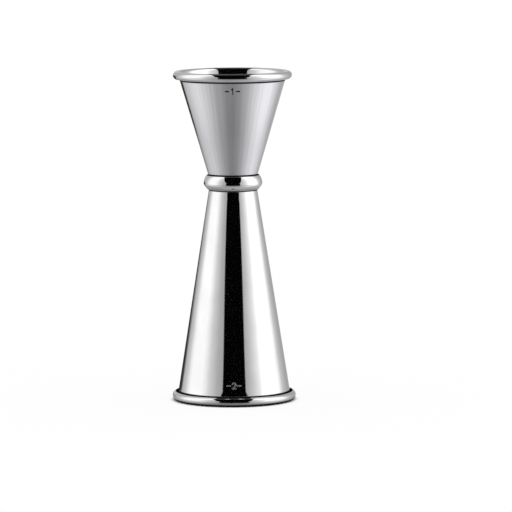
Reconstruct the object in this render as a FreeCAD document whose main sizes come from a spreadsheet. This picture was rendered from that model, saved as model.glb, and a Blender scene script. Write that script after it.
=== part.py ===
"""Double bar jigger: two stainless cups brazed floor to floor, with a formed ring over the waist.

Everything is in millimetres, +Z up. The origin is the centre of the circle on which the large
cup's rolled rim stands, and the jigger's axis is Z. The capacity marks face -Y.

Four pieces come off the bench: the small cup, the large cup, the filler metal between their floors,
and the waist ring, which is swaged down onto both tapers and so can't slide off either way.
"""

import FreeCAD, Part
import math
import os

import Sketcher
from FreeCAD import Placement, Rotation, Vector

DIMENSIONS = [
    ("overall_height", 129.0, "standing plane to the small cup's rim"),
    ("sheet_thickness", 1.1, "stainless sheet of both cups"),
    ("land_width", 0.5, "flat lapped on the crown of each rolled rim"),
    ("floor_corner", 1.5, "inner radius between floor and wall, both cups"),
    ("foot_circle", 45.2, "circle the jigger stands on, large cup"),
    ("foot_bead", 3.1, "width of the large cup's rolled rim"),
    ("foot_side", 0.4, "straight outer side between that rim's two arcs"),
    ("foot_roll", 82.0, "its free edge, rolled in past the straight side, degrees"),
    ("foot_taper", 8.9, "large cup's wall to the axis, degrees"),
    ("mouth_circle", 43.3, "crown circle of the small cup's rolled rim"),
    ("mouth_bead", 3.1, "width of the small cup's rolled rim"),
    ("mouth_side", 0.1, "straight outer side between that rim's two arcs"),
    ("mouth_roll", 104.0, "its free edge, rolled in past the straight side, degrees"),
    ("mouth_taper", 16.5, "small cup's wall to the axis, degrees"),
    ("waist_height", 85.5, "middle of the brazed joint"),
    ("braze_gap", 0.1, "film of filler metal between the floors"),
    ("braze_radius", 8.1, "outer radius of the filler at its edges"),
    ("braze_hollow", 0.9, "radius of the filler's concave outer face"),
    ("ring_height", 85.2, "widest circle of the waist ring"),
    ("ring_radius", 11.45, "radius of that circle"),
    ("ring_sheet", 0.7, "sheet of the ring"),
    ("ring_top", 3.25, "upper edge above the widest circle"),
    ("ring_bottom", 2.45, "lower edge below the widest circle"),
    ("ring_shoulder", 4.9, "arc radius above the widest circle"),
    ("ring_turn", 1.5, "arc radius below the widest circle"),
    ("ring_slope", 38.0, "lower side to the axis, degrees"),
    ("ring_fit", 0.02, "ring's two lands to the walls under them"),
    ("ring_edge", 0.15, "rounding of the ring's two outer edges"),
    ("mark_depth", 0.1, "depth of the capacity marks, square to the wall"),
    ("mark_stroke", 0.42, "width of an engraved stroke"),
    ("mouth_mark_size", 2.6, "numeral height on the small cup"),
    ("mouth_mark_height", 120.9, "base line of the small cup's mark"),
    ("foot_mark_size", 2.6, "numeral height on the large cup"),
    ("foot_mark_height", 6.7, "base line of the large cup's mark"),
]


def make_sheet(doc):
    """The driving dimensions: plain numbers, each with an alias and a note."""
    sheet = doc.addObject("Spreadsheet::Sheet", "Dims")
    for row, (alias, value, note) in enumerate(DIMENSIONS, start=1):
        sheet.set(f"A{row}", alias)
        sheet.set(f"B{row}", str(value))
        sheet.set(f"C{row}", note)
        sheet.setAlias(f"B{row}", alias)
    doc.recompute()
    return sheet


class Outline:
    """A sketch on a body's own XZ plane: x is the distance from the axis and y the height."""

    def __init__(self, body, name):
        self.sketch = body.newObject("Sketcher::SketchObject", name)
        planes = [f for f in body.Origin.OriginFeatures if f.Role == "XZ_Plane"]
        self.sketch.AttachmentSupport = [(planes[0], "")]
        self.sketch.MapMode = "FlatFace"

    def line(self, start, end):
        segment = Part.LineSegment(Vector(*start), Vector(*end))
        return self.sketch.addGeometry(segment)

    def arc(self, centre, radius, start_deg, end_deg):
        """A counterclockwise arc."""
        circle = Part.Circle(Vector(*centre), Vector(0, 0, 1), radius)
        start, end = math.radians(start_deg), math.radians(end_deg)
        return self.sketch.addGeometry(Part.ArcOfCircle(circle, start, end))

    def rule(self, *args):
        self.sketch.addConstraint(Sketcher.Constraint(*args))

    def size(self, name, expression, *args):
        """A named dimension bound to the sheet. Its last argument is only the starting value."""
        index = self.sketch.addConstraint(Sketcher.Constraint(*args))
        self.sketch.renameConstraint(index, name)
        self.sketch.setExpression(f"Constraints.{name}", expression)


START, END, CENTRE = 1, 2, 3
ORIGIN = (-1, 1)
AXIS = -2


def turned(value):
    """The (x, y) unit vector at this many degrees."""
    return math.cos(math.radians(value)), math.sin(math.radians(value))


def along(point, degrees, distance):
    """The point this far away in that direction."""
    x, y = turned(degrees)
    return point[0] + x * distance, point[1] + y * distance


def revolve(body, outline, name):
    feature = body.newObject("PartDesign::Revolution", name)
    feature.Profile = outline.sketch
    feature.ReferenceAxis = (outline.sketch, ["V_Axis"])
    feature.Angle = 360
    outline.sketch.Visibility = False
    return feature


def crown_drop(end):
    """Expression: from the upper centre of a rolled rim up to its lapped crown."""
    return f"sqrt((Dims.{end}_bead / 2) ^ 2 - (Dims.land_width / 2) ^ 2)"


def cup_depth(end):
    """Expression: a cup's height over all, from its crown to the underside of its floor."""
    if end == "mouth":
        return "Dims.overall_height - Dims.waist_height - Dims.braze_gap / 2"
    return "Dims.waist_height - Dims.braze_gap / 2"


def make_cup(doc, sheet, end):
    """One drawn cup, mouth up, with the underside of its floor at z = 0.

    The sheet runs along the floor, round a corner, up the taper and over a rolled rim: round the
    crown, straight down the side, and in again to a free edge that stops short of the wall. The
    crown is lapped to a narrow flat land."""
    body = doc.addObject("PartDesign::Body", f"{end}_cup_shell")
    draw = Outline(body, f"{end}_cup_profile")
    sheet_t, corner = sheet.sheet_thickness, sheet.floor_corner
    bead, taper = getattr(sheet, f"{end}_bead") / 2, getattr(sheet, f"{end}_taper")
    side, roll = getattr(sheet, f"{end}_side"), getattr(sheet, f"{end}_roll")
    circle = getattr(sheet, f"{end}_circle") / 2
    half_land = sheet.land_width / 2
    if end == "mouth":
        depth = sheet.overall_height - sheet.waist_height - sheet.braze_gap / 2
    else:
        depth = sheet.waist_height - sheet.braze_gap / 2

    # Starting geometry close to the solution; the dimensions below decide the shape.
    bore = bead - sheet_t
    hub = (circle, depth - math.sqrt(bead**2 - half_land**2))
    lip_hub = (circle, hub[1] - side)
    inward = 180 - taper
    wall_top = along(hub, inward, bead)
    hub_floor_y = sheet_t + corner
    rise = wall_top[1] - hub_floor_y
    lean = math.tan(math.radians(taper))
    hub_floor = (wall_top[0] - rise * lean - corner / math.cos(math.radians(taper)), hub_floor_y)
    half_land_deg = math.degrees(math.asin(half_land / bead))

    axis = draw.line((0, 0), (0, sheet_t))
    floor_in = draw.line((0, sheet_t), (hub_floor[0], sheet_t))
    corner_in = draw.arc(hub_floor, corner, -90, -taper)
    wall_in = draw.line(along(hub_floor, -taper, corner), wall_top)
    crown_in = draw.arc(hub, bead, 90 + half_land_deg, inward)
    land = draw.line(along(hub, 90 + half_land_deg, bead), along(hub, 90 - half_land_deg, bead))
    crown_out = draw.arc(hub, bead, 0, 90 - half_land_deg)
    side_out = draw.line(along(hub, 0, bead), along(lip_hub, 0, bead))
    lip_out = draw.arc(lip_hub, bead, -roll, 0)
    edge = draw.line(along(lip_hub, -roll, bead), along(lip_hub, -roll, bore))
    lip_bore = draw.arc(lip_hub, bore, -roll, 0)
    side_bore = draw.line(along(lip_hub, 0, bore), along(hub, 0, bore))
    crown_bore = draw.arc(hub, bore, 0, inward)
    outer = corner + sheet_t
    wall_out = draw.line(along(hub_floor, -taper, outer), along(hub, inward, bore))
    corner_out = draw.arc(hub_floor, outer, -90, -taper)
    floor_out = draw.line((hub_floor[0], 0), (0, 0))

    draw.rule("Coincident", axis, START, *ORIGIN)
    draw.rule("PointOnObject", axis, END, AXIS)
    draw.rule("Coincident", axis, END, floor_in, START)
    draw.rule("Horizontal", floor_in)
    draw.rule("Tangent", floor_in, END, corner_in, START)
    draw.rule("Tangent", corner_in, END, wall_in, START)
    draw.rule("Tangent", wall_in, END, crown_in, END)
    draw.rule("Coincident", crown_in, START, land, START)
    draw.rule("Horizontal", land)
    draw.rule("Coincident", land, END, crown_out, END)
    draw.rule("Tangent", crown_out, START, side_out, START)
    draw.rule("Vertical", side_out)
    draw.rule("Tangent", side_out, END, lip_out, END)
    draw.rule("Coincident", lip_out, START, edge, START)
    draw.rule("Coincident", edge, END, lip_bore, START)
    draw.rule("Tangent", lip_bore, END, side_bore, START)
    draw.rule("Vertical", side_bore)
    draw.rule("Tangent", side_bore, END, crown_bore, START)
    draw.rule("Tangent", crown_bore, END, wall_out, END)
    draw.rule("Tangent", wall_out, START, corner_out, END)
    draw.rule("Tangent", corner_out, START, floor_out, START)
    draw.rule("Coincident", floor_out, END, *ORIGIN)
    draw.rule("Horizontal", floor_out)
    draw.rule("Coincident", corner_in, CENTRE, corner_out, CENTRE)
    draw.rule("Coincident", crown_in, CENTRE, crown_out, CENTRE)
    draw.rule("Coincident", crown_in, CENTRE, crown_bore, CENTRE)
    draw.rule("Coincident", lip_out, CENTRE, lip_bore, CENTRE)
    draw.rule("Equal", crown_in, crown_out)
    draw.rule("Equal", crown_out, lip_out)
    draw.rule("PointOnObject", lip_out, CENTRE, edge)

    draw.size("sheet", "Dims.sheet_thickness", "DistanceY", axis, START, axis, END, sheet_t)
    draw.size("corner", "Dims.floor_corner", "Radius", corner_in, corner)
    draw.size("bead", f"Dims.{end}_bead / 2", "Radius", crown_in, bead)
    draw.size("bore", f"Dims.{end}_bead / 2 - Dims.sheet_thickness", "Radius", crown_bore, bore)
    draw.size("side", f"Dims.{end}_side", "DistanceY", side_out, END, side_out, START, side)
    draw.size("circle", f"Dims.{end}_circle / 2", "DistanceX", *ORIGIN, crown_in, CENTRE, circle)
    draw.size("depth", cup_depth(end), "DistanceY", *ORIGIN, land, START, depth)
    draw.size("land", "Dims.land_width", "DistanceX", land, START, land, END, sheet.land_width)
    edge_lean = math.radians(180 - roll)
    draw.size("roll", f"180 deg - Dims.{end}_roll * 1 deg", "Angle", edge, edge_lean)
    wall_lean = math.radians(90 - taper)
    draw.size("taper", f"90 deg - Dims.{end}_taper * 1 deg", "Angle", wall_out, wall_lean)
    revolve(body, draw, f"{end}_cup_turn")
    return body


def hub_height(end):
    """Expression: a rolled rim's upper centre above the underside of its cup's own floor."""
    return f"({cup_depth(end)} - {crown_drop(end)})"


def floor_reach(end):
    """Expression: the radius at which a cup's flat floor turns up into its corner."""
    rise = f"({hub_height(end)} - Dims.sheet_thickness - Dims.floor_corner)"
    across = f"Dims.{end}_bead / 2 + Dims.floor_corner + {rise} * sin(Dims.{end}_taper)"
    return f"Dims.{end}_circle / 2 - ({across}) / cos(Dims.{end}_taper)"


def wall_radius(end, height):
    """Expression: outer radius of a cup's wall at a height above the standing plane."""
    if end == "mouth":
        below_hub = f"(Dims.overall_height - {crown_drop(end)} - ({height}))"
    else:
        below_hub = f"({height} - {crown_drop(end)})"
    bore = f"Dims.{end}_bead / 2 - Dims.sheet_thickness"
    across = f"{bore} + {below_hub} * sin(Dims.{end}_taper)"
    return f"(Dims.{end}_circle / 2 - ({across}) / cos(Dims.{end}_taper))"


def make_braze(doc, sheet):
    """The filler metal: a film between the two floors that swells into the groove round them."""
    body = doc.addObject("PartDesign::Body", "waist_filler")
    draw = Outline(body, "waist_filler_profile")
    film, reach = sheet.braze_gap / 2, sheet.braze_radius
    corner = sheet.floor_corner + sheet.sheet_thickness
    hub = (reach - corner / 2, film + corner)
    low_hub = (hub[0], -hub[1])
    edge_y = hub[1] - math.sqrt(corner**2 - (corner / 2) ** 2)
    half_angle = math.degrees(math.asin(edge_y / sheet.braze_hollow))
    hollow_hub = (reach + math.sqrt(sheet.braze_hollow**2 - edge_y**2), 0)

    axis = draw.line((0, -film), (0, film))
    top = draw.line((0, film), (hub[0], film))
    top_swell = draw.arc(hub, corner, -90, -60)
    face = draw.arc(hollow_hub, sheet.braze_hollow, 180 - half_angle, 180 + half_angle)
    low_swell = draw.arc(low_hub, corner, 60, 90)
    low = draw.line((low_hub[0], -film), (0, -film))

    draw.rule("PointOnObject", axis, START, AXIS)
    draw.rule("Symmetric", axis, START, axis, END, *ORIGIN)
    draw.rule("Coincident", axis, END, top, START)
    draw.rule("Horizontal", top)
    draw.rule("Tangent", top, END, top_swell, START)
    draw.rule("Coincident", top_swell, END, face, START)
    draw.rule("Coincident", face, END, low_swell, START)
    draw.rule("Tangent", low_swell, END, low, START)
    draw.rule("Horizontal", low)
    draw.rule("Coincident", low, END, axis, START)
    draw.rule("Vertical", top_swell, END, low_swell, START)

    swell = "Dims.floor_corner + Dims.sheet_thickness"
    draw.size("film", "Dims.braze_gap", "DistanceY", axis, START, axis, END, 2 * film)
    draw.size("top_corner", swell, "Radius", top_swell, corner)
    draw.size("low_corner", swell, "Radius", low_swell, corner)
    draw.size("top_flat", floor_reach("mouth"), "DistanceX", *ORIGIN, top_swell, CENTRE, hub[0])
    draw.size("low_flat", floor_reach("foot"), "DistanceX", *ORIGIN, low_swell, CENTRE, hub[0])
    draw.size("reach", "Dims.braze_radius", "DistanceX", *ORIGIN, face, START, reach)
    draw.size("hollow", "Dims.braze_hollow", "Radius", face, sheet.braze_hollow)
    revolve(body, draw, "waist_filler_turn")
    return body


def make_ring(doc, sheet):
    """The waist ring, formed from sheet, with its widest circle at z = 0.

    Its outside falls in a long arc from the upper edge to the widest circle, turns sharply there
    and slopes in to the lower edge. Inside it is hollow, and bears on the walls only at two
    short lands, one at each edge."""
    body = doc.addObject("PartDesign::Body", "ring_shell")
    draw = Outline(body, "ring_profile")
    widest, sheet_t = sheet.ring_radius, sheet.ring_sheet
    shoulder, turn, slope = sheet.ring_shoulder, sheet.ring_turn, sheet.ring_slope
    shoulder_hub, turn_hub = (widest - shoulder, 0), (widest - turn, 0)

    # Starting geometry close to the solution; the dimensions below decide the shape.
    top_deg = math.degrees(math.asin(sheet.ring_top / shoulder))
    land_top_y = sheet.ring_top - sheet_t / 2
    land_top_deg = math.degrees(math.asin(land_top_y / (shoulder - sheet_t)))
    top_out = along(shoulder_hub, top_deg, shoulder)
    top_in = (top_out[0] - sheet_t, sheet.ring_top)
    low_turn = along(turn_hub, -slope, turn)
    run = (low_turn[1] + sheet.ring_bottom) * math.tan(math.radians(slope))
    low_out = (low_turn[0] - run, -sheet.ring_bottom)
    low_in = (low_out[0] - sheet_t / 2, -sheet.ring_bottom)
    low_land_top = (low_in[0], low_in[1] + sheet_t)

    top = draw.line(top_in, top_out)
    outer_arc = draw.arc(shoulder_hub, shoulder, 0, top_deg)
    outer_turn = draw.arc(turn_hub, turn, -slope, 0)
    outer_slope = draw.line(low_turn, low_out)
    low = draw.line(low_out, low_in)
    low_land = draw.line(low_in, low_land_top)
    inner_slope = draw.line(low_land_top, along(turn_hub, -slope, turn - sheet_t))
    inner_turn = draw.arc(turn_hub, turn - sheet_t, -slope, 0)
    inner_arc = draw.arc(shoulder_hub, shoulder - sheet_t, 0, land_top_deg)
    top_land = draw.line(along(shoulder_hub, land_top_deg, shoulder - sheet_t), top_in)

    draw.rule("Horizontal", top)
    draw.rule("Coincident", top, END, outer_arc, END)
    draw.rule("Tangent", outer_arc, START, outer_turn, END)
    draw.rule("Tangent", outer_turn, START, outer_slope, START)
    draw.rule("Coincident", outer_slope, END, low, START)
    draw.rule("Horizontal", low)
    draw.rule("Coincident", low, END, low_land, START)
    draw.rule("Coincident", low_land, END, inner_slope, START)
    draw.rule("Tangent", inner_slope, END, inner_turn, START)
    draw.rule("Coincident", inner_turn, END, inner_arc, START)
    draw.rule("Coincident", inner_arc, END, top_land, START)
    draw.rule("Coincident", top_land, END, top, START)
    draw.rule("Coincident", outer_arc, CENTRE, inner_arc, CENTRE)
    draw.rule("Coincident", outer_turn, CENTRE, inner_turn, CENTRE)
    draw.rule("Parallel", outer_slope, inner_slope)
    draw.rule("PointOnObject", outer_arc, CENTRE, -1)
    draw.rule("PointOnObject", outer_turn, CENTRE, -1)
    draw.rule("PointOnObject", inner_turn, END, -1)

    upper_edge = wall_radius("mouth", "Dims.ring_height + Dims.ring_top")
    lower_edge = wall_radius("foot", "Dims.ring_height - Dims.ring_bottom")
    draw.size("widest", "Dims.ring_radius", "DistanceX", *ORIGIN, outer_arc, START, widest)
    draw.size("shoulder", "Dims.ring_shoulder", "Radius", outer_arc, shoulder)
    draw.size("turn", "Dims.ring_turn", "Radius", outer_turn, turn)
    draw.size("sheet", "Dims.ring_turn - Dims.ring_sheet", "Radius", inner_turn, turn - sheet_t)
    draw.size("top", "Dims.ring_top", "DistanceY", *ORIGIN, top, START, sheet.ring_top)
    draw.size("bottom", "Dims.ring_bottom", "DistanceY", low, START, *ORIGIN, sheet.ring_bottom)
    slope_start = math.radians(90 - slope)
    draw.size("slope", "90 deg - Dims.ring_slope * 1 deg", "Angle", inner_slope, slope_start)
    fit = " + Dims.ring_fit"
    draw.size("top_bore", upper_edge + fit, "DistanceX", *ORIGIN, top, START, top_in[0])
    draw.size("low_bore", lower_edge + fit, "DistanceX", *ORIGIN, low, END, low_in[0])
    top_lean = math.radians(90 - sheet.mouth_taper)
    low_lean = math.radians(90 + sheet.foot_taper)
    draw.size("top_lean", "90 deg - Dims.mouth_taper * 1 deg", "Angle", top_land, top_lean)
    draw.size("low_lean", "90 deg + Dims.foot_taper * 1 deg", "Angle", low_land, low_lean)
    turned_ring = revolve(body, draw, "ring_turn_feature")
    doc.recompute()

    rounded = body.newObject("PartDesign::Fillet", "ring_edges")
    edges = [
        outer_edge(turned_ring.Shape, sheet.ring_top),
        outer_edge(turned_ring.Shape, -sheet.ring_bottom),
    ]
    rounded.Base = (turned_ring, edges)
    rounded.setExpression("Radius", "Dims.ring_edge")
    return body


def outer_edge(shape, height):
    """The name of the widest round edge at this height."""
    named = [(f"Edge{index}", edge) for index, edge in enumerate(shape.Edges, start=1)]
    level = [
        (edge.Curve.Radius, name)
        for name, edge in named
        if isinstance(edge.Curve, Part.Circle) and abs(edge.Curve.Center.z - height) < 1e-6
    ]
    return max(level)[1]


NUMERALS = {
    # Strokes of each numeral on a height of 1: a line by its two ends, or an arc by its
    # centre, radius, first angle and sweep in degrees.
    "one": {"lines": [((-0.2, 0.8), (0.05, 1.0)), ((0.05, 1.0), (0.05, 0.0))], "arcs": []},
    "two": {
        "lines": [((0.22, 0.5), (-0.3, 0.0)), ((-0.3, 0.0), (0.3, 0.0))],
        "arcs": [((0.0, 0.71), 0.29, -45, 205)],
    },
}
SIDE_LINES = [((-1.25, 0.5), (-0.7, 0.5)), ((0.7, 0.5), (1.25, 0.5))]


def stroke_line(start, end, width, length):
    """A straight stroke with round ends, drawn in x and z and standing out along -Y."""
    outward = Vector(0, -1, 0)
    first, last = Vector(start[0], 0, start[1]), Vector(end[0], 0, end[1])
    side = (last - first).normalize().cross(outward) * (width / 2)
    corners = [first + side, last + side, last - side, first - side, first + side]
    bar = Part.Face(Part.makePolygon(corners)).extrude(outward * length)
    ends = [Part.makeCylinder(width / 2, length, point, outward) for point in (first, last)]
    return bar.multiFuse(ends)


def stroke_arc(centre, radius, first_deg, sweep_deg, width, length):
    """A round stroke, counterclockwise seen from the front."""
    hub, outward = Vector(centre[0], 0, centre[1]), Vector(0, -1, 0)
    outer = Part.makeCylinder(radius + width / 2, length, Vector(), Vector(0, 0, 1), sweep_deg)
    inner = Part.makeCylinder(radius - width / 2, length)
    band = outer.cut(inner)
    band.rotate(Vector(), Vector(0, 0, 1), first_deg)
    band.rotate(Vector(), Vector(1, 0, 0), 90)
    band.translate(hub)
    ends = []
    for degrees in (first_deg, first_deg + sweep_deg):
        tip = along(centre, degrees, radius)
        ends.append(Part.makeCylinder(width / 2, length, Vector(tip[0], 0, tip[1]), outward))
    return band.multiFuse(ends)


def make_mark(doc, sheet, end, numeral):
    """The metal that one capacity mark removes: a numeral between two short level lines."""
    size, base = getattr(sheet, f"{end}_mark_size"), getattr(sheet, f"{end}_mark_height")
    width = sheet.mark_stroke
    scale, lift = size - width, base + width / 2
    length = sheet.foot_circle / 2 + sheet.foot_bead

    def place(point):
        return point[0] * scale, point[1] * scale + lift

    strokes = []
    for start, stop in NUMERALS[numeral]["lines"] + SIDE_LINES:
        strokes.append(stroke_line(place(start), place(stop), width, length))
    for centre, radius, first_deg, sweep_deg in NUMERALS[numeral]["arcs"]:
        strokes.append(
            stroke_arc(place(centre), radius * scale, first_deg, sweep_deg, width, length)
        )
    prism = doc.addObject("Part::Feature", f"{end}_mark_strokes")
    prism.Shape = strokes[0].multiFuse(strokes[1:]).removeSplitter()

    # The core is the wall less the depth of the mark, so that only a shallow skin is cut.
    low, high = f"Dims.{end}_mark_height - 1", f"Dims.{end}_mark_height + Dims.{end}_mark_size + 1"
    skin = f" - Dims.mark_depth / cos(Dims.{end}_taper)"
    core = doc.addObject("Part::Cone", f"{end}_mark_core")
    core.setExpression("Radius1", wall_radius(end, low) + skin)
    core.setExpression("Radius2", wall_radius(end, high) + skin)
    core.setExpression("Height", f"Dims.{end}_mark_size + 2")
    core.setExpression("Placement.Base.z", low)
    metal = doc.addObject("Part::Cut", f"{end}_mark_metal")
    metal.Base = prism
    metal.Tool = core
    return metal


def engrave(doc, label, cup, metal):
    """The finished cup: the drawn shell less its capacity mark."""
    part = doc.addObject("Part::Cut", f"{label}_engraved")
    part.Base = cup
    part.Tool = metal
    part.Label = label
    return part


def main():
    doc = FreeCAD.newDocument("bar_jigger")
    sheet = make_sheet(doc)

    small_shell = make_cup(doc, sheet, "mouth")
    small_shell.setExpression("Placement.Base.z", "Dims.waist_height + Dims.braze_gap / 2")
    large_shell = make_cup(doc, sheet, "foot")
    large_shell.Placement = Placement(Vector(), Rotation(Vector(1, 0, 0), 180))
    large_shell.setExpression("Placement.Base.z", "Dims.waist_height - Dims.braze_gap / 2")

    small_cup = engrave(doc, "small_cup", small_shell, make_mark(doc, sheet, "mouth", "one"))
    large_cup = engrave(doc, "large_cup", large_shell, make_mark(doc, sheet, "foot", "two"))

    waist_braze = make_braze(doc, sheet)
    waist_braze.Label = "waist_braze"
    waist_braze.setExpression("Placement.Base.z", "Dims.waist_height")
    waist_ring = make_ring(doc, sheet)
    waist_ring.Label = "waist_ring"
    waist_ring.setExpression("Placement.Base.z", "Dims.ring_height")
    doc.recompute()

    for item in doc.Objects:
        if "Invalid" in item.State or "Error" in item.State:
            raise RuntimeError(f"{item.Label} failed: {item.State}")

    pieces = [small_cup, large_cup, waist_braze, waist_ring]
    for piece in pieces:
        shape = piece.Shape
        if shape.isNull() or not shape.isValid() or len(shape.Solids) != 1:
            raise RuntimeError(f"{piece.Label} is not one valid solid")

    os.makedirs("parts", exist_ok=True)
    for piece in pieces:
        piece.Shape.exportStep(f"parts/{piece.Label}.step")
        box = piece.Shape.optimalBoundingBox(False)
        heights = f"z {box.ZMin:.3f} to {box.ZMax:.3f}"
        print(f"{piece.Label}: {box.XLength:.3f} wide, {heights}, {piece.Shape.Volume:.0f} mm3")


main()
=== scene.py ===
"""Looks of the double bar jigger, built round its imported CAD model. Metres, +Z up.

Each piece is a lathe mesh turned from its own section, and the capacity marks are real recesses
in the walls of the cups. The metal reflects a studio that is worked out from directions alone,
soft white sides with a dark gap where the camera stands, and a disc of table close to its foot.
"""

import math

import bmesh
import bpy
import numpy as np
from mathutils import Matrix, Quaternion, Vector


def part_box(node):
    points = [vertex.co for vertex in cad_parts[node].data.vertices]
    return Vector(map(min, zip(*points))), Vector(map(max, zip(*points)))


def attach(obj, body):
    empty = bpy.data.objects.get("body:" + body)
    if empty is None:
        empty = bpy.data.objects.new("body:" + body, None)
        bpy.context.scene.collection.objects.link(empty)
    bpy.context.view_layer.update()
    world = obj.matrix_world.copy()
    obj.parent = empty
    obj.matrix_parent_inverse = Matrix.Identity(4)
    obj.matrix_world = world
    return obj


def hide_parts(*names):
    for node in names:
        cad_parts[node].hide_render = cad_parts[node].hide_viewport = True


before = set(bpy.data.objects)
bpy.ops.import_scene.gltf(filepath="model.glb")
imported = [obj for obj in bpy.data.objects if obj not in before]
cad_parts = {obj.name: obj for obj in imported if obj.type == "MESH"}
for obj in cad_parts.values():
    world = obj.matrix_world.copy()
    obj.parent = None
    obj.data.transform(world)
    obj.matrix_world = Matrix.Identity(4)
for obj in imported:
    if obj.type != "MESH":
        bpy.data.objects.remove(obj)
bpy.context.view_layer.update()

MM = 0.001

# Sheet metal, in millimetres and degrees. Where a piece stands, and how wide it is, come from its
# CAD node. A rolled rim is a bead with a straight side, and its edge turns `roll` past that side.
SHEET = 1.1
FLOOR_CORNER = 1.5
EDGE_ROUND = 0.12
MOUTH = {"taper": 16.5, "bead": 3.1, "side": 0.1, "roll": 104.0}
FOOT = {"taper": 8.9, "bead": 3.1, "side": 0.4, "roll": 82.0}
RING_SHEET, RING_SHOULDER, RING_TURN, RING_SLOPE = 0.7, 4.9, 1.5, 38.0
RING_LOWER_SIDE = 2.45
RING_FIT = 0.02
# The ring's inner arc ends this far below its top.
RING_INNER_DROP = 0.5
# The rounding of the ring's lower edge, in its own radii: where it starts, back up the slope, and
# how far in from the foot of the slope its centre lies.
LOWER_EDGE_START, LOWER_EDGE_INSET = 1.4, 1.28
BRAZE_FILM, BRAZE_HOLLOW = 0.05, 0.9
BRAZE_RIPPLE, BRAZE_SHRINK = 0.03, 0.05
# An open section stops this far from the axis, and is capped there.
CAP_RADIUS = 0.4
# How many lines of points each lathe mesh has round the axis, and a cup has more across its mark.
CUP_LINES, RING_LINES, BRAZE_LINES = 200, 256, 160

MARK_DEPTH, MARK_STROKE, MARK_STEP = 0.1, 0.42, 0.06
MARK_SIDE_WALL = 0.08
MOUTH_MARK_SIZE, MOUTH_MARK_BASE = 2.6, 120.9
FOOT_MARK_SIZE, FOOT_MARK_BASE = 2.6, 6.7

# Strokes of each numeral on a height of 1: lines by their two ends, and arcs by centre, radius,
# first angle and sweep in degrees. A short level line stands at each side.
SIDE_LINES = [((-1.25, 0.5), (-0.7, 0.5)), ((0.7, 0.5), (1.25, 0.5))]
ONE = {"lines": [((-0.2, 0.8), (0.05, 1.0)), ((0.05, 1.0), (0.05, 0.0))], "arcs": []}
TWO = {
    "lines": [((0.22, 0.5), (-0.3, 0.0)), ((-0.3, 0.0), (0.3, 0.0))],
    "arcs": [((0.0, 0.71), 0.29, -45, 205)],
}


# ---------------------------------------------------------------- sections


def unit(degrees):
    """The (radius, height) unit vector at this many degrees."""
    return np.array([math.cos(math.radians(degrees)), math.sin(math.radians(degrees))])


def straight(start, end, steps):
    """Points along a line, without its last one."""
    share = np.linspace(0, 1, steps, endpoint=False)[:, None]
    return np.array(start) * (1 - share) + np.array(end) * share


def bend(centre, radius, first, last, step=7.5):
    """Points along an arc from the first angle to the last, without the last one."""
    count = max(2, math.ceil(abs(last - first) / step))
    angles = np.linspace(first, last, count, endpoint=False)
    return np.array([np.array(centre) + radius * unit(a) for a in angles])


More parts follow.
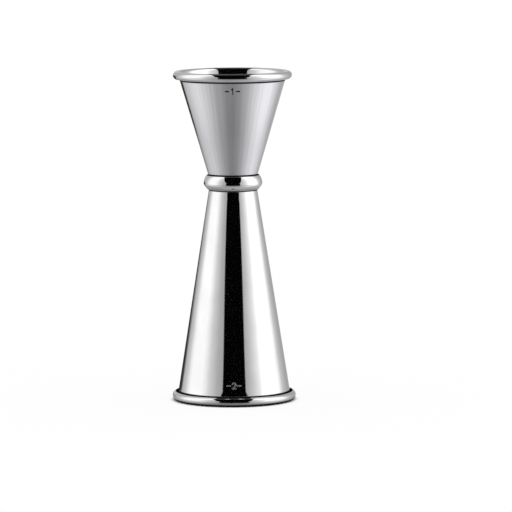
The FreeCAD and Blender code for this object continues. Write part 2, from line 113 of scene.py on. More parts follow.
class Cup:
    """A drawn cup with a rolled rim, standing where its CAD node stands. Its section is worked out
    mouth up, with the underside of the floor at height 0."""

    def __init__(self, node, shape, mouth_up):
        low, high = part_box(node)
        self.node = node
        self.floor, self.sign = (low.z / MM, 1) if mouth_up else (high.z / MM, -1)
        self.taper, self.side, self.roll = shape["taper"], shape["side"], shape["roll"]
        self.bead = shape["bead"] / 2
        self.bore = self.bead - SHEET
        self.hub = np.array([high.x / MM - self.bead, (high.z - low.z) / MM - self.bead])
        self.inward = 180 - self.taper
        lean = math.radians(self.taper)
        rise = self.hub[1] - SHEET - FLOOR_CORNER
        reach = self.bead + FLOOR_CORNER + rise * math.sin(lean)
        self.corner = np.array([self.hub[0] - reach / math.cos(lean), SHEET + FLOOR_CORNER])
        self.wall_low = self.corner + (FLOOR_CORNER + SHEET) * unit(-self.taper)
        self.wall_high = self.hub + self.bore * unit(self.inward)

    def wall_point(self, height):
        """The outer wall's point at a height above the floor."""
        share = (height - self.wall_low[1]) / (self.wall_high[1] - self.wall_low[1])
        return self.wall_low + share * (self.wall_high - self.wall_low)

    def wall_radius(self, height):
        """The outer wall's radius at a height above the plane that the jigger stands on."""
        return self.wall_point(self.sign * (height - self.floor))[0]

    def lip_height(self):
        """Height of the centre of the roll's free arc, above the plane the jigger stands on."""
        return self.floor + self.sign * (self.hub[1] - self.side)

    def rim(self):
        """The rolled rim, from the top of the inner wall round to the top of the outer one."""
        hub, bead, bore, edge = self.hub, self.bead, self.bore, EDGE_ROUND
        lip, free = hub - (0, self.side), -self.roll
        past_outer = math.degrees(math.asin(edge / (bead - edge)))
        past_inner = math.degrees(math.asin(edge / (bore + edge)))
        tip_outer = lip + (bead - edge) * unit(free + past_outer)
        tip_inner = lip + (bore + edge) * unit(free + past_inner)
        return [
            bend(hub, bead, self.inward, 0, 5),
            straight(hub + (bead, 0), lip + (bead, 0), 4),
            bend(lip, bead, 0, free + past_outer, 5),
            bend(tip_outer, edge, free, free - 90, 30),
            bend(tip_inner, edge, free - 90, free - 180, 30),
            bend(lip, bore, free + past_inner, 0, 10),
            straight(lip + (bore, 0), hub + (bore, 0), 4),
            bend(hub, bore, 0, self.inward, 10),
        ]

    def outline(self, close_heights):
        """The whole section from the axis inside to the axis underneath, with which of its points
        lie in the roll and on the outer wall. The wall has a row at each of the close heights."""
        taper, corner, rim = self.taper, self.corner, self.rim()
        inner_low = corner + FLOOR_CORNER * unit(-taper)
        inner_high = self.hub + self.bead * unit(self.inward)
        inside = [
            straight((CAP_RADIUS, SHEET), (corner[0], SHEET), 6),
            bend(corner, FLOOR_CORNER, -90, -taper),
            straight(inner_low, inner_high, 12),
            *rim,
        ]
        coarse = np.linspace(self.wall_low[1], self.wall_high[1], 18)
        clear = (coarse < close_heights.min()) | (coarse > close_heights.max())
        heights = np.sort(np.concatenate([coarse[clear], close_heights]))[::-1]
        wall = np.array([self.wall_point(height) for height in heights])
        under = [
            bend(corner, FLOOR_CORNER + SHEET, -taper, -90)[1:],
            straight((corner[0], 0), (CAP_RADIUS, 0), 5),
            np.array([(CAP_RADIUS, 0)]),
        ]
        points = np.vstack(inside + [wall] + under)
        place = np.arange(len(points))
        wall_start = sum(len(part) for part in inside)
        roll_start = wall_start - sum(len(part) for part in rim[3:])
        in_roll = (place >= roll_start) & (place < wall_start)
        on_wall = (place >= wall_start) & (place < wall_start + len(wall))
        return points, in_roll, on_wall


# ---------------------------------------------------------------- capacity marks


def segment_distance(x, z, start, end):
    """Distance from each (x, z) to a line segment."""
    dx, dz = end[0] - start[0], end[1] - start[1]
    along = ((x - start[0]) * dx + (z - start[1]) * dz) / (dx * dx + dz * dz)
    along = np.clip(along, 0, 1)
    return np.hypot(x - start[0] - along * dx, z - start[1] - along * dz)


def arc_distance(x, z, centre, radius, first, sweep):
    """Distance from each (x, z) to an arc."""
    angle = np.degrees(np.arctan2(z - centre[1], x - centre[0]))
    beside = np.abs(np.hypot(x - centre[0], z - centre[1]) - radius)
    tips = [np.array(centre) + radius * unit(a) for a in (first, first + sweep)]
    beyond = np.minimum(*[np.hypot(x - tip[0], z - tip[1]) for tip in tips])
    return np.where(np.mod(angle - first, 360) <= sweep, beside, beyond)


class Mark:
    """A numeral between two level lines, on the side that faces -Y. Sizes in millimetres."""

    def __init__(self, glyph, size, base):
        self.glyph, self.size, self.base = glyph, size, base
        self.scale, self.lift = size - MARK_STROKE, base + MARK_STROKE / 2

    def place(self, point):
        return point[0] * self.scale, point[1] * self.scale + self.lift

    def half_width(self):
        return SIDE_LINES[1][1][0] * self.scale + 2 * MARK_STROKE

    def heights(self):
        """Heights of the close rows that cross the mark."""
        return np.arange(self.base - MARK_STROKE, self.base + self.size + MARK_STROKE, MARK_STEP)

    def cut(self, x, z):
        """1 on the floors of the strokes and 0 off them, with rounded side walls between."""
        distances = [
            segment_distance(x, z, self.place(start), self.place(end))
            for start, end in self.glyph["lines"] + SIDE_LINES
        ]
        distances += [
            arc_distance(x, z, self.place(centre), radius * self.scale, first, sweep)
            for centre, radius, first, sweep in self.glyph["arcs"]
        ]
        nearest = np.minimum.reduce(distances)
        share = (MARK_STROKE / 2 - nearest) / MARK_SIDE_WALL + 0.5
        share = np.clip(share, 0, 1)
        return share * share * (3 - 2 * share)


# ---------------------------------------------------------------- meshes


def even_azimuths(count):
    return np.linspace(-math.pi, math.pi, count, endpoint=False)


def azimuths_for(mark, radius):
    """Angles from the -Y side right round, with close lines across the mark."""
    half, step = mark.half_width() / radius, MARK_STEP / radius
    close = np.arange(-half, half + step / 2, step)
    even = even_azimuths(CUP_LINES)
    return np.sort(np.concatenate([even[np.abs(even) > half + step], close]))


def lathe(name, node, radius, height, angles, closed, attributes=None):
    """A mesh turned about the axis that stands for a CAD node. Radius and height are grids of
    section points by angles, in millimetres. An open section is capped at the axis."""
    rows, columns = radius.shape
    grid = np.stack([radius * np.sin(angles), -radius * np.cos(angles), height], -1) * MM
    vertices = grid.reshape(-1, 3)
    row, column = np.indices((rows if closed else rows - 1, columns))
    up, right = (row + 1) % rows, (column + 1) % columns
    corners = [(row, column), (up, column), (up, right), (row, right)]
    faces = np.stack([r * columns + c for r, c in corners], -1).reshape(-1, 4).tolist()
    if not closed:
        caps = [(0, 0, height[0, 0] * MM), (0, 0, height[-1, 0] * MM)]
        vertices = np.vstack([vertices, caps])
        last = (rows - 1) * columns
        for index in range(columns):
            beside = (index + 1) % columns
            faces.append([rows * columns, index, beside])
            faces.append([rows * columns + 1, last + beside, last + index])

    mesh = bpy.data.meshes.new(name)
    mesh.from_pydata(vertices.tolist(), [], faces)
    for label, values in (attributes or {}).items():
        layer = mesh.attributes.new(label, "FLOAT", "POINT")
        spread = np.zeros(len(vertices), np.float32)
        spread[: rows * columns] = np.broadcast_to(values, radius.shape).ravel()
        layer.data.foreach_set("value", spread)
    shell = bmesh.new()
    shell.from_mesh(mesh)
    bmesh.ops.recalc_face_normals(shell, faces=shell.faces)
    shell.to_mesh(mesh)
    shell.free()
    mesh.polygons.foreach_set("use_smooth", [True] * len(mesh.polygons))
    mesh.update()
    piece = bpy.data.objects.new(name, mesh)
    bpy.context.scene.collection.objects.link(piece)
    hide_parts(node)
    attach(piece, "root")
    return piece


def make_cup(name, cup, mark):
    """One cup, with its mark cut into the outer wall."""
    close_heights = np.sort(cup.sign * (mark.heights() - cup.floor))
    points, in_roll, on_wall = cup.outline(close_heights)
    angles = azimuths_for(mark, cup.wall_radius(mark.base))
    radius = np.repeat(points[:, :1], len(angles), 1)
    height = np.repeat(points[:, 1:], len(angles), 1)

    seen = on_wall[:, None] & (np.cos(angles) > 0)
    cut = np.where(seen, mark.cut(radius * np.sin(angles), cup.floor + cup.sign * height), 0)
    lean = math.radians(cup.taper)
    radius = radius - cut * MARK_DEPTH * math.cos(lean)
    height = cup.floor + cup.sign * (height + cut * MARK_DEPTH * math.sin(lean))
    attributes = {"etched": cut, "in_roll": in_roll[:, None], "outer_wall": on_wall[:, None]}
    return lathe(name, cup.node, radius, height, angles, False, attributes)


def make_ring(small, large):
    """The formed ring over the waist: hollow, and bearing on the walls at its two edges."""
    low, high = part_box("waist_ring")
    widest, top = high.x / MM, (high.z - low.z) / MM - RING_LOWER_SIDE
    bore_top = small.wall_radius(high.z / MM) + RING_FIT
    bore_low = large.wall_radius(low.z / MM) + RING_FIT
    shoulder, turn = (widest - RING_SHOULDER, 0), (widest - RING_TURN, 0)
    inner_shoulder, inner_turn = RING_SHOULDER - RING_SHEET, RING_TURN - RING_SHEET
    top_angle = math.degrees(math.asin(top / RING_SHOULDER))
    inner_angle = math.degrees(math.asin((top - RING_INNER_DROP) / inner_shoulder))

    down = unit(-90 - RING_SLOPE)
    slope_top = turn + RING_TURN * unit(-RING_SLOPE)
    run = (slope_top[1] + RING_LOWER_SIDE) / -down[1]
    slope_foot = slope_top + run * down
    inner_slope_top = turn + inner_turn * unit(-RING_SLOPE)
    inner_run = (inner_slope_top[0] - bore_low) / -down[0]
    inner_slope_foot = inner_slope_top + inner_run * down

    edge = EDGE_ROUND
    top_out = shoulder + RING_SHOULDER * unit(top_angle)
    top_turn = (top_out[0] - edge, top - edge)
    low_turn = (slope_foot[0] - LOWER_EDGE_INSET * edge, -RING_LOWER_SIDE + edge)
    outline = [
        straight((bore_top, top), (top_turn[0], top), 4),
        bend(top_turn, edge, 90, top_angle, 15),
        bend(shoulder, RING_SHOULDER, top_angle - 2.5, 0, 2.5),
        bend(turn, RING_TURN, 0, -RING_SLOPE, 4),
        straight(slope_top, slope_foot - LOWER_EDGE_START * edge * down, 10),
        bend(low_turn, edge, -RING_SLOPE, -90, 15),
        straight((low_turn[0], -RING_LOWER_SIDE), (bore_low, -RING_LOWER_SIDE), 2),
        straight((bore_low, -RING_LOWER_SIDE), inner_slope_foot, 3),
        straight(inner_slope_foot, inner_slope_top, 6),
        bend(turn, inner_turn, -RING_SLOPE, 0, 6),
        bend(shoulder, inner_shoulder, 0, inner_angle, 5),
    ]
    points = np.vstack(outline)
    angles = even_azimuths(RING_LINES)
    radius = np.repeat(points[:, :1], len(angles), 1)
    height = np.repeat(points[:, 1:] + low.z / MM + RING_LOWER_SIDE, len(angles), 1)
    return lathe("waist_ring_formed", "waist_ring", radius, height, angles, True)


def make_braze(small, large):
    """The filler metal, with the slight waviness that a brazed fillet freezes with."""
    low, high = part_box("waist_braze")
    reach, film, corner = high.x / MM, BRAZE_FILM, FLOOR_CORNER + SHEET
    starts = [small.corner[0], large.corner[0]]
    swings = [math.degrees(math.asin((reach - start) / corner)) for start in starts]
    edges = [film + corner * (1 - math.cos(math.radians(swing))) for swing in swings]
    half, middle = (edges[0] + edges[1]) / 2, (edges[0] - edges[1]) / 2
    opening = math.degrees(math.asin(half / BRAZE_HOLLOW))
    hollow = (reach + math.sqrt(BRAZE_HOLLOW**2 - half**2), middle)
    outline = [
        straight((CAP_RADIUS, film), (starts[0], film), 6),
        bend((starts[0], film + corner), corner, -90, swings[0] - 90),
        bend(hollow, BRAZE_HOLLOW, 180 - opening, 180 + opening, 8),
        bend((starts[1], -film - corner), corner, 90 - swings[1], 90),
        straight((starts[1], -film), (CAP_RADIUS, -film), 6),
        np.array([(CAP_RADIUS, -film)]),
    ]
    points = np.vstack(outline)
    angles = even_azimuths(BRAZE_LINES)
    ripple = BRAZE_RIPPLE * (np.sin(5 * angles) + 0.6 * np.sin(11 * angles + 1.3)) - BRAZE_SHRINK
    outer = np.clip((points[:, 0] - starts[1]) / (reach - starts[1]), 0, 1)[:, None]
    radius = points[:, :1] + outer**3 * ripple
    joint = low.z / MM + edges[1]
    height = np.repeat(points[:, 1:] + joint, len(angles), 1)
    return lathe("waist_braze_filler", "waist_braze", radius, height, angles, False)


# ---------------------------------------------------------------- materials


BRIGHT_STEEL, HAZY_STEEL = (0.84, 0.84, 0.845, 1), (0.785, 0.785, 0.79, 1)
SATIN_STEEL, SATIN_STREAK = (0.83, 0.825, 0.865, 1), (0.75, 0.75, 0.77, 1)
CLEAN_BRAZE, DULL_BRAZE = (0.82, 0.78, 0.66, 1), (0.52, 0.46, 0.36, 1)
DARK_ETCH, PALE_ETCH = (0.02, 0.02, 0.025, 1), (0.4, 0.4, 0.41, 1)
# The near black that painted shade turns the metal to.
SHADE_BLACK = (0.01, 0.01, 0.01, 1)
# Heights in millimetres between which the satin wall turns smoother, and paler, upwards: the paler
# colour is painted light, brighter towards the rim.
SMOOTHER, PAINTED_PALER = (98, 114), (100, 120)
# Fine lines of painted shade along the seams, in millimetres: how far off each lies, past the
# ring's edges and from the centres of the two rolled rims towards the waist, and its half width.
RING_SEAM, RING_SEAM_HALF = 0.1, 0.45
MOUTH_SEAM, MOUTH_SEAM_HALF = 1.85, 0.5
FOOT_SEAM, FOOT_SEAM_HALF = 1.55, 0.6
# Where the ring's painted shade along its top starts and is full, below its top, and where the
# painted shade at its lower edge is full and ends, above that edge.
RING_TOP_SHADE, RING_SHADE = (0.22, 0.08), (0.6, 1.0)
# The lowest millimetres of the rim it stands on, and how dark its painted shade is over them from
# the table up.
SHADED = 2.4
CONTACT_SHADE = [
    (0, 1.0), (0.31, 1.0), (0.38, 0.85), (0.45, 0.60), (0.55, 0.42), (0.65, 0.27), (0.8, 0.12),
    (1, 0.0),
]


class Graph:
    """Builds one shader tree. Inputs may be plain values or other nodes' sockets."""

    def __init__(self, tree):
        self.tree = tree
        tree.nodes.clear()

    def node(self, kind, inputs=None, **settings):
        made = self.tree.nodes.new("ShaderNode" + kind)
        for key, value in settings.items():
            setattr(made, key, value)
        for key, value in (inputs or {}).items():
            self.feed(made.inputs[key], value)
        return made

    def feed(self, socket, value):
        if isinstance(value, bpy.types.NodeSocket):
            self.tree.links.new(value, socket)
        else:
            socket.default_value = value

    def maths(self, operation, *values):
        return self.node("Math", dict(enumerate(values)), operation=operation).outputs[0]

    def vector(self, operation, *values):
        return self.node("VectorMath", dict(enumerate(values)), operation=operation).outputs[0]

    def grey(self, value):
        """A number as a vector with all three parts the same."""
        return self.node("CombineXYZ", {0: value, 1: value, 2: value}).outputs[0]

    def remap(self, value, low, high, first=0.0, last=1.0, smooth=False):
        """Maps low..high to first..last, and holds the ends."""
        kind = "SMOOTHSTEP" if smooth else "LINEAR"
        inputs = {"Value": value, 1: low, 2: high, 3: first, 4: last}
        return self.node("MapRange", inputs, interpolation_type=kind).outputs[0]

    def mix(self, share, first, last):
        """Blends two numbers."""
        inputs = {0: share, 2: first, 3: last}
        return self.node("Mix", inputs, data_type="FLOAT").outputs[0]

    def mix_colour(self, share, first, last):
        inputs = {0: share, 6: first, 7: last}
        return self.node("Mix", inputs, data_type="RGBA").outputs[2]

    def noise(self, vector, scale, detail=2.0, roughness=0.5):
        inputs = {"Vector": vector, "Scale": scale, "Detail": detail, "Roughness": roughness}
        return self.node("TexNoise", inputs).outputs["Fac"]

    def ramp(self, factor, stops):
        """A grey ramp through (place, value) stops."""
        made = self.node("ValToRGB", {"Fac": factor})
        elements = made.color_ramp.elements
        while len(elements) < len(stops):
            elements.new(0.5)
        for element, (place, value) in zip(elements, stops):
            element.position = place
            element.color = (value, value, value, 1)
        return made.outputs["Color"]


def round_axis(graph, across, along):
    """Texture coordinates with no seam: `across` features to the turn and `along` to the metre."""
    position = graph.node("TexCoord").outputs["Object"]
    flat = graph.vector("MULTIPLY", position, (1, 1, 0))
    facing = graph.vector("NORMALIZE", flat)
    spread = graph.vector("MULTIPLY", facing, (across, across, 0))
    upright = graph.vector("MULTIPLY", position, (0, 0, along))
    return graph.vector("ADD", spread, upright)


def new_material(name):
    material = bpy.data.materials.new(name)
    material.use_nodes = True
    return material, Graph(material.node_tree)


def finish_metal(graph, colour, roughness, bump_height, bump_distance=0.00001, painted_shade=0.0):
    """Closes a metal's shader: colour, roughness, a fine bump, and where painted shade, dull and
    black, covers it.
    """
    bump = graph.node("Bump", {"Height": bump_height, "Distance": bump_distance, "Strength": 1.0})
    inputs = {
        "Base Color": graph.mix_colour(painted_shade, colour, SHADE_BLACK),
        "Metallic": graph.remap(painted_shade, 0.85, 1.0, 1.0, 0.0),
        "Specular IOR Level": 0.0,
        "Roughness": graph.mix(painted_shade, roughness, 0.6),
        "Normal": bump.outputs["Normal"],
    }
    shader = graph.node("BsdfPrincipled", inputs)
    graph.node("OutputMaterial", {"Surface": shader.outputs[0]})


def attribute(graph, name):
    return graph.node("Attribute", attribute_name=name).outputs["Fac"]


def metres(lengths):
    """Lengths in millimetres, as metres."""
    return [length * MM for length in lengths]


def height_above_table(graph):
    position = graph.node("TexCoord").outputs["Object"]
    return graph.node("SeparateXYZ", {0: position}).outputs["Z"]


def seam_shade(graph, seams):
    """1 in the fine lines of painted shade where an outer wall runs into another surface. Each is a
    height and a half width in millimetres."""
    height = height_above_table(graph)
    lines = 0.0
    for middle, half in seams:
        away = graph.maths("ABSOLUTE", graph.maths("SUBTRACT", height, middle * MM))
        line = graph.remap(away, 0.5 * half * MM, half * MM, 1.0, 0.0, smooth=True)
        lines = graph.maths("MAXIMUM", lines, line)
    return graph.maths("MULTIPLY", lines, attribute(graph, "outer_wall"))


def cup_steel(name, seams, etch_colour, satin_wall=False, stands=False):
    """A cup's stainless: a mirror polish with faint hairlines round the axis and soft smudges, with
    painted shade in its seams and inside the roll, and dull where the mark is etched. The small cup
    keeps a satin outer wall, with fine upright streaks and painted light that pales it towards its
    rim, and the rim that the jigger stands on gets painted shade towards the table."""
    material, graph = new_material(name)
    colour, roughness, bump = polish(graph)
    if satin_wall:
        wall = attribute(graph, "outer_wall")
        streaks = graph.noise(round_axis(graph, 26, 14), 1.0, 4.0, 0.6)
        height = height_above_table(graph)
        satin = graph.remap(streaks, 0.3, 0.75, 0.10, 0.18)
        coarser = graph.remap(height, *metres(SMOOTHER), 0.22, 0.0, smooth=True)
        roughness = graph.mix(wall, roughness, graph.maths("ADD", satin, coarser))
        strip = graph.remap(streaks, 0.36, 0.64)
        satin_colour = graph.mix_colour(strip, SATIN_STEEL, SATIN_STREAK)
        # Painted light: the satin wall turns paler towards the rim.
        paler = graph.remap(height, *metres(PAINTED_PALER), 0.97, 1.07, smooth=True)
        satin_colour = graph.vector("MULTIPLY", satin_colour, graph.grey(paler))
        colour = graph.mix_colour(wall, colour, satin_colour)

    # Painted shade: dark lines in the seams, and black inside the roll.
    painted_shade = graph.maths("MAXIMUM", seam_shade(graph, seams), attribute(graph, "in_roll"))
    if stands:
        # Painted shade on the rim it stands on, darker towards the table.
        low = graph.remap(height_above_table(graph), 0.0, SHADED * MM)
        painted_shade = graph.maths("MAXIMUM", painted_shade, graph.ramp(low, CONTACT_SHADE))
    strokes = graph.remap(attribute(graph, "etched"), 0.05, 0.4)
    grain = graph.noise(round_axis(graph, 400, 9000), 1.0, 2.0)
    roughness = graph.mix(strokes, roughness, graph.remap(grain, 0.3, 0.7, 0.6, 0.8))
    colour = graph.mix_colour(strokes, colour, etch_colour)
    finish_metal(graph, colour, roughness, bump, painted_shade=painted_shade)
    return material


def ring_steel(name, low, high):
    """The ring's mirror polish, with painted shade along its top edge and soft painted shade near
    its lower one.
    """
    material, graph = new_material(name)
    height = height_above_table(graph)
    # Painted shade: dark along the top edge, and softly darker near the lower edge.
    upper = graph.remap(height, *metres(high - below for below in RING_TOP_SHADE))
    lower = graph.remap(height, *metres(low + above for above in RING_SHADE), 0.35, 0.0)
    finish_metal(graph, *polish(graph), painted_shade=graph.maths("MAXIMUM", upper, lower))
    return material


def polish(graph):
    """Mirror-polished stainless: its colour, roughness and bump."""
    hairlines = graph.noise(round_axis(graph, 1.5, 9000), 1.0, 3.0, 0.6)
    smudges = graph.noise(round_axis(graph, 2.2, 90), 1.0, 3.0, 0.55)
    roughness = graph.remap(smudges, 0.45, 0.8, 0.03, 0.06)
    haze = graph.remap(smudges, 0.38, 0.66)
    colour = graph.mix_colour(haze, BRIGHT_STEEL, HAZY_STEEL)
    return colour, roughness, graph.maths("MULTIPLY", hairlines, 0.12)


def silver_braze(name):
    """Filler metal as it freezes: pale, slightly yellow, dulled by flux in patches."""
    material, graph = new_material(name)
    patches = graph.noise(round_axis(graph, 6, 800), 1.0, 4.0, 0.6)
    colour = graph.mix_colour(patches, CLEAN_BRAZE, DULL_BRAZE)
    roughness = graph.remap(patches, 0.3, 0.7, 0.25, 0.5)
    finish_metal(graph, colour, roughness, patches, 0.00003)
    return material


def dress(piece, material):
    piece.data.materials.append(material)


# ---------------------------------------------------------------- studio


# What stands round the jigger, by azimuth in degrees from the camera towards +X.
SIDES = [
    (-180, 0.6), (-150, 0.48), (-134, 0.55), (-122, 0.72), (-112, 1.03), (-104, 1.18),
    (-92, 1.2), (-74, 1.2), (-65, 1.02), (-55, 0.75), (-45, 0.60), (-37, 0.48), (-28, 0.43),
    (0, 0.41), (28, 0.49), (37, 0.62), (45, 0.77), (55, 0.98), (64, 1.3), (101, 1.4),
    (112, 1.08), (122, 0.68), (134, 0.53), (148, 0.42), (165, 0.42), (180, 0.6),
]
# The table round it, by azimuth.
TABLE = [
    (-180, 0.7), (-165, 0.6), (-141, 0.52), (-120, 0.70), (-98, 0.82), (-78, 0.72), (-60, 0.57),
    (-45, 0.43), (-30, 0.345), (-14, 0.25), (4, 0.245), (22, 0.32), (38, 0.48), (55, 0.67),
    (85, 1.0), (105, 0.97), (120, 0.75), (135, 0.55), (150, 0.40), (165, 0.6), (180, 0.7),
]
# The table is duller close by, up to an elevation that is CLOSE_BY_FLOOR towards the camera and,
# further round, CLOSE_BY_AHEAD and the slope for each degree of azimuth.
CLOSE_BY_SLOPE, CLOSE_BY_AHEAD, CLOSE_BY_FLOOR = 0.48, -91.0, -57.0
# The elevations between which the table gives way to the sides.
HORIZON = (-11, -5)
# The dark gap where the camera stands: how far it reaches to the left and to the right, by
# elevation in degrees. It runs overhead from the table in front, and dwindles behind.
GAP = [
    (-10, 0.47, 0.47), (8.4, 0.47, 0.47), (9.4, 0.40, 0.40), (10.2, 0.42, 0.42),
    (11.2, 0.465, 0.465), (12, 0.472, 0.472), (12.6, 0.447, 0.447), (21, 0.49, 0.49),
    (29, 0.515, 0.495), (39, 0.51, 0.49), (58, 0.44, 0.42), (67, 0.385, 0.36), (90, 0.32, 0.32),
]
GAP_LOWEST, GAP_HIGHEST = -10, 90
# Half the softness of the gap's sides, the elevations between which it starts over the table in
# front, and how dark it is on the camera's side and behind the jigger.
GAP_SOFT, GAP_START, GAP_DARK = 0.012, (-22, -19), (0.0008, 0.08)
# Dark strips behind the jigger on the left, from straight behind it: azimuth and softness of the
# edge, lowest elevation, and the two elevations between which the strip gives out at the top.
STRIPS = [(-147.5, 2.0, -17.0, -8.0, -7.0), (-141.5, 4.0, -7.5, -3.2, 0.2)]
STRIP_DARK = 0.03
# What lights the floor, and fills the picture behind it.
WHITE = 1.05
# Radius in millimetres of the table that the foot sees close by.
NEAR_TABLE = 34.5
# The floor, in metres: its radius, and where it starts to fade and is gone. Then in millimetres,
# where the shade under the rim starts to lift and is gone.
FLOOR_REACH, FLOOR_FADE, RIM_SHADE = 6.0, (0.5, 2.5), (24.0, 25.5)
# The camera: where it stands in metres, the angles it is turned by in degrees, and its lens and
# sensor width in millimetres.
CAMERA_PLACE = (0, -1.566, 0.2229)
CAMERA_DOWN, CAMERA_ASIDE, CAMERA_ROLL = 6.069, 0.321, -0.291
CAMERA_LENS, CAMERA_SENSOR = 282.9, 36


def looking(graph, direction):
    """A direction's parts across and away from the camera, and its azimuth and elevation."""
    split = graph.node("SeparateXYZ", {0: direction})
    across, away = split.outputs["X"], split.outputs["Y"]
    towards = graph.maths("MULTIPLY", away, -1.0)
    azimuth = graph.maths("DEGREES", graph.maths("ARCTAN2", across, towards))
    elevation = graph.maths("DEGREES", graph.maths("ARCSINE", split.outputs["Z"]))
    return across, away, azimuth, elevation


def table_light(graph, across, azimuth, elevation):
    """The table as the metal sees it, duller on the camera's side."""
    turn = graph.remap(azimuth, -180, 180)
    table = graph.ramp(turn, [(a / 360 + 0.5, v) for a, v in TABLE])
    turned = graph.maths("ABSOLUTE", azimuth)
    close_by = graph.maths("MULTIPLY_ADD", turned, CLOSE_BY_SLOPE, CLOSE_BY_AHEAD)
    close_by = graph.maths("MAXIMUM", close_by, CLOSE_BY_FLOOR)
    close_by = graph.remap(graph.maths("SUBTRACT", elevation, close_by), -5, 5, 1.0, 0.0)
    return graph.mix(close_by, table, graph.remap(across, -0.5, 0.5, 0.38, 0.48))


def studio_world():
    """Plain white to the camera and to the floor. Metal sees white sides with a dark gap towards
    the camera, and the table below."""
    world = bpy.data.worlds.new("studio")
    bpy.context.scene.world = world
    world.use_nodes = True
    graph = Graph(world.node_tree)
    direction = graph.node("TexCoord").outputs["Generated"]
    across, away, azimuth, elevation = looking(graph, direction)
    turn = graph.remap(azimuth, -180, 180)
    sides = graph.ramp(turn, [(a / 360 + 0.5, v / 2) for a, v in SIDES])
    sides = graph.maths("MULTIPLY", sides, 2.0)
    table = table_light(graph, across, azimuth, elevation)
    seen = graph.mix(graph.remap(elevation, *HORIZON, smooth=True), table, sides)

    for edge, soft, lowest, fades, highest in STRIPS:
        clear = graph.remap(azimuth, edge - soft, edge + soft, smooth=True)
        under = graph.remap(elevation, lowest - 1, lowest + 1, 1.0, 0.0)
        over = graph.remap(elevation, fades, highest)
        clear = graph.maths("MAXIMUM", clear, graph.maths("MAXIMUM", under, over))
        seen = graph.mix(clear, STRIP_DARK, seen)

    rise = graph.remap(elevation, GAP_LOWEST, GAP_HIGHEST)
    places = [(e - GAP_LOWEST) / (GAP_HIGHEST - GAP_LOWEST) for e, _, _ in GAP]
    left = graph.ramp(rise, [(place, reach) for place, (_, reach, _) in zip(places, GAP)])
    right = graph.ramp(rise, [(place, reach) for place, (_, _, reach) in zip(places, GAP)])
    gap = graph.mix(graph.maths("GREATER_THAN", across, 0.0), left, right)
    behind = graph.maths("MAXIMUM", away, 0.0)
    gap = graph.maths("MULTIPLY", gap, graph.maths("SUBTRACT", 1.0, behind))
    beside = graph.maths("SUBTRACT", graph.maths("ABSOLUTE", across), gap)
    outside = graph.remap(beside, -GAP_SOFT, GAP_SOFT, smooth=True)
    under = graph.remap(elevation, *GAP_START, 1.0, 0.0)
    dark = graph.remap(away, -0.05, 0.1, *GAP_DARK)
    seen = graph.mix(graph.maths("MAXIMUM", outside, under), dark, seen)

    path = graph.node("LightPath")
    metal = path.outputs["Is Glossy Ray"]
    strength = graph.mix(metal, WHITE, seen)
    background = graph.node("Background", {"Color": (1, 1, 1, 1), "Strength": strength})
    graph.node("OutputWorld", {"Surface": background.outputs[0]})


def stage_disc(name, reach, sides=96):
    """A flat disc at table height, which isn't part of the object, and its empty shader."""
    mesh = bpy.data.meshes.new(name)
    turns = [2 * math.pi * index / sides for index in range(sides)]
    rim = [(reach * math.cos(turn), reach * math.sin(turn), 0) for turn in turns]
    mesh.from_pydata(rim, [], [list(range(sides))])
    disc = bpy.data.objects.new(name, mesh)
    bpy.context.scene.collection.objects.link(disc)
    material, graph = new_material(name)
    mesh.materials.append(material)
    return disc, graph


def near_table():
    """The table close to the foot, which only the metal sees: the lowest curve of the rim that the
    jigger stands on shows it under the dark gap."""
    disc, graph = stage_disc("near_table", NEAR_TABLE * MM)
    disc.visible_camera = disc.visible_diffuse = disc.visible_shadow = False
    disc.visible_transmission = False
    incoming = graph.node("NewGeometry").outputs["Incoming"]
    across, _, azimuth, elevation = looking(graph, graph.vector("MULTIPLY", incoming, (-1, -1, -1)))
    light = table_light(graph, across, azimuth, elevation)
    front = graph.remap(graph.maths("ABSOLUTE", azimuth), 0, 50, 1.7, 1.0)
    strength = graph.maths("MULTIPLY", light, front)
    glow = graph.node("Emission", {"Color": (1, 1, 1, 1), "Strength": strength})
    graph.node("OutputMaterial", {"Surface": glow.outputs[0]})


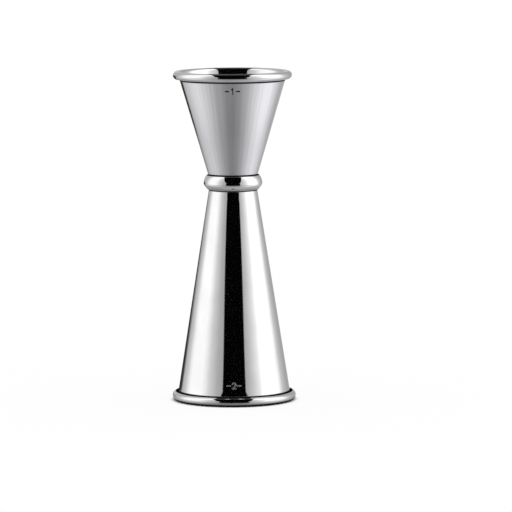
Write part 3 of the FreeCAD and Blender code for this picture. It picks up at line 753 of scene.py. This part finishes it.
def pale_floor():
    """A plain pale floor that fades into the white behind it, in shade only under the rim."""
    floor, graph = stage_disc("floor", FLOOR_REACH)
    floor.visible_glossy = False
    position = graph.node("TexCoord").outputs["Object"]
    away = graph.node("VectorMath", {0: position}, operation="LENGTH").outputs["Value"]
    fade = graph.remap(away, *FLOOR_FADE, smooth=True)
    grain = graph.noise(position, 60.0, 4.0)
    colour = graph.mix_colour(grain, (0.93, 0.93, 0.93, 1), (0.95, 0.95, 0.95, 1))
    matt = graph.node("BsdfDiffuse", {"Color": colour})
    glow = graph.node("Emission", {"Color": (1, 1, 1, 1), "Strength": 1.0})
    lit = graph.remap(away, *metres(RIM_SHADE), 0.0, 0.85)
    pale = graph.node("MixShader", {0: lit, 1: matt.outputs[0], 2: glow.outputs[0]})
    clear = graph.node("BsdfTransparent")
    mixed = graph.node("MixShader", {0: fade, 1: pale.outputs[0], 2: clear.outputs[0]})
    graph.node("OutputMaterial", {"Surface": mixed.outputs[0]})


def camera():
    """The camera: far off, a little above the rim, with the jigger left of centre."""
    down, aside = math.radians(CAMERA_DOWN), math.radians(CAMERA_ASIDE)
    roll = Quaternion((0, 0, 1), math.radians(CAMERA_ROLL))
    data = bpy.data.cameras.new("camera")
    data.sensor_width = CAMERA_SENSOR
    data.lens = CAMERA_LENS
    made = bpy.data.objects.new("camera", data)
    bpy.context.scene.collection.objects.link(made)
    made.location = CAMERA_PLACE
    aim = Vector((math.sin(aside), math.cos(aside) * math.cos(down), -math.sin(down)))
    made.rotation_mode = "QUATERNION"
    made.rotation_quaternion = aim.to_track_quat("-Z", "Y") @ roll
    bpy.context.scene.camera = made


small, large = Cup("small_cup", MOUTH, True), Cup("large_cup", FOOT, False)
ring_low, ring_high = [corner.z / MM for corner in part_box("waist_ring")]
small_seams = [
    (ring_high + RING_SEAM, RING_SEAM_HALF),
    (small.lip_height() - MOUTH_SEAM, MOUTH_SEAM_HALF),
]
large_seams = [
    (ring_low - RING_SEAM, RING_SEAM_HALF),
    (large.lip_height() + FOOT_SEAM, FOOT_SEAM_HALF),
]
satin = cup_steel("satin_steel", small_seams, DARK_ETCH, satin_wall=True)
mirror = cup_steel("mirror_steel", large_seams, PALE_ETCH, stands=True)
ring_finish = ring_steel("mirror_ring_steel", ring_low, ring_high)

small_mark = Mark(ONE, MOUTH_MARK_SIZE, MOUTH_MARK_BASE)
large_mark = Mark(TWO, FOOT_MARK_SIZE, FOOT_MARK_BASE)
dress(make_cup("small_cup_drawn", small, small_mark), satin)
dress(make_cup("large_cup_drawn", large, large_mark), mirror)
dress(make_ring(small, large), ring_finish)
dress(make_braze(small, large), silver_braze("silver_braze"))

studio_world()
near_table()
pale_floor()
camera()
bpy.context.scene.view_settings.view_transform = "Standard"
